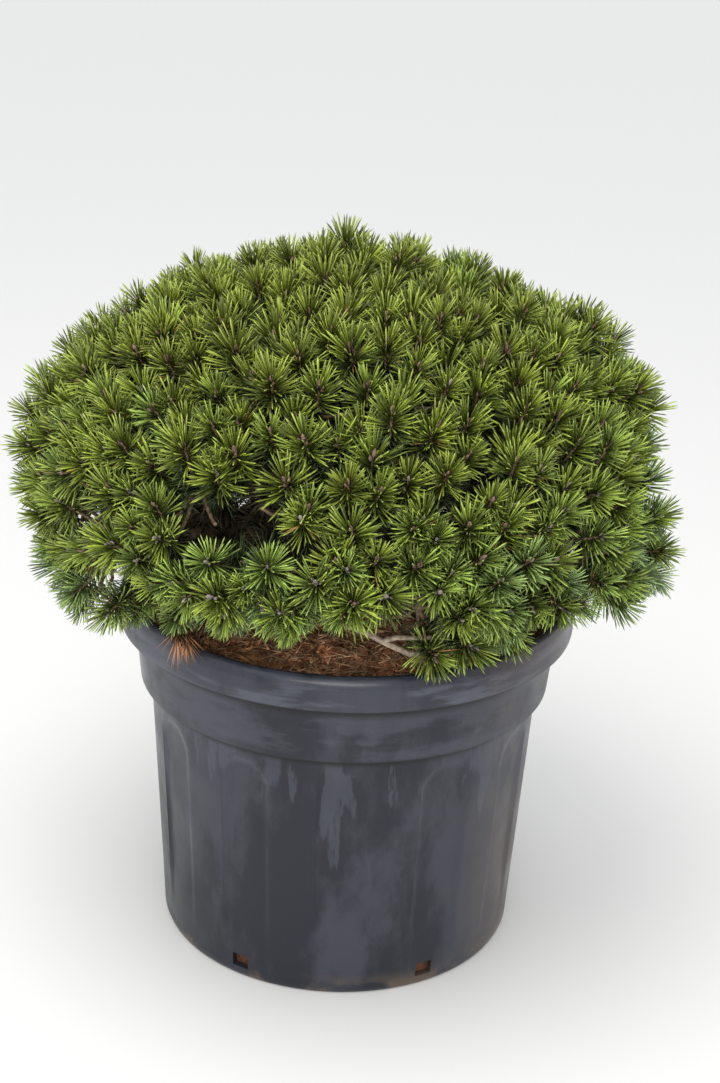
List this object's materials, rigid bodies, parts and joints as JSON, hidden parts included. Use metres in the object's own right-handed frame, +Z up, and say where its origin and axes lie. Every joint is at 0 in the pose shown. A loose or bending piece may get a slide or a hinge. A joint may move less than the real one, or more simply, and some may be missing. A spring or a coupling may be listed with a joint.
{
  "type": "potted mugo pine",
  "caption": "Dwarf mountain pine grown as a dense, broad dome of needle tufts on short spreading boughs, standing in a fluted black plastic nursery pot.",
  "frame": {"origin": "middle of the flat underside of the pot", "axes": "+Z up out of the pot, -Y towards the side the pine is looked at from, +X to that side's right"},
  "size_m": [0.7684, 0.7402, 0.8412],
  "materials": {
    "pot_plastic": "semi-matt black moulded plastic with grey scuffs",
    "potting_bark": "moist red-brown peat and bark with fallen needles",
    "bark": "rough grey-brown pine bark",
    "needles": "satin green pine needles in tufts round small brown buds"
  },
  "bodies": {
    "root": {"bough_middle_1": "bark", "bough_middle_2": "bark", "bough_middle_3": "bark", "bough_middle_4": "bark", "bough_middle_5": "bark", "bough_middle_6": "bark", "bough_middle_7": "bark", "bough_middle_8": "bark", "bough_skirt_1": "bark", "bough_skirt_10": "bark", "bough_skirt_2": "bark", "bough_skirt_3": "bark", "bough_skirt_4": "bark", "bough_skirt_5": "bark", "bough_skirt_6": "bark", "bough_skirt_7": "bark", "bough_skirt_8": "bark", "bough_skirt_9": "bark", "bough_upper_1": "bark", "bough_upper_2": "bark", "bough_upper_3": "bark", "bough_upper_4": "bark", "bough_upper_5": "bark", "bough_upper_6": "bark", "foliage_middle_1": "needles", "foliage_middle_2": "needles", "foliage_middle_3": "needles", "foliage_middle_4": "needles", "foliage_middle_5": "needles", "foliage_middle_6": "needles", "foliage_middle_7": "needles", "foliage_middle_8": "needles", "foliage_skirt_1": "needles", "foliage_skirt_10": "needles", "foliage_skirt_2": "needles", "foliage_skirt_3": "needles", "foliage_skirt_4": "needles", "foliage_skirt_5": "needles", "foliage_skirt_6": "needles", "foliage_skirt_7": "needles", "foliage_skirt_8": "needles", "foliage_skirt_9": "needles", "foliage_top": "needles", "foliage_upper_1": "needles", "foliage_upper_2": "needles", "foliage_upper_3": "needles", "foliage_upper_4": "needles", "foliage_upper_5": "needles", "foliage_upper_6": "needles", "pot": "pot_plastic", "root_ball": "potting_bark", "trunk": "bark"}
  },
  "joints": []
}
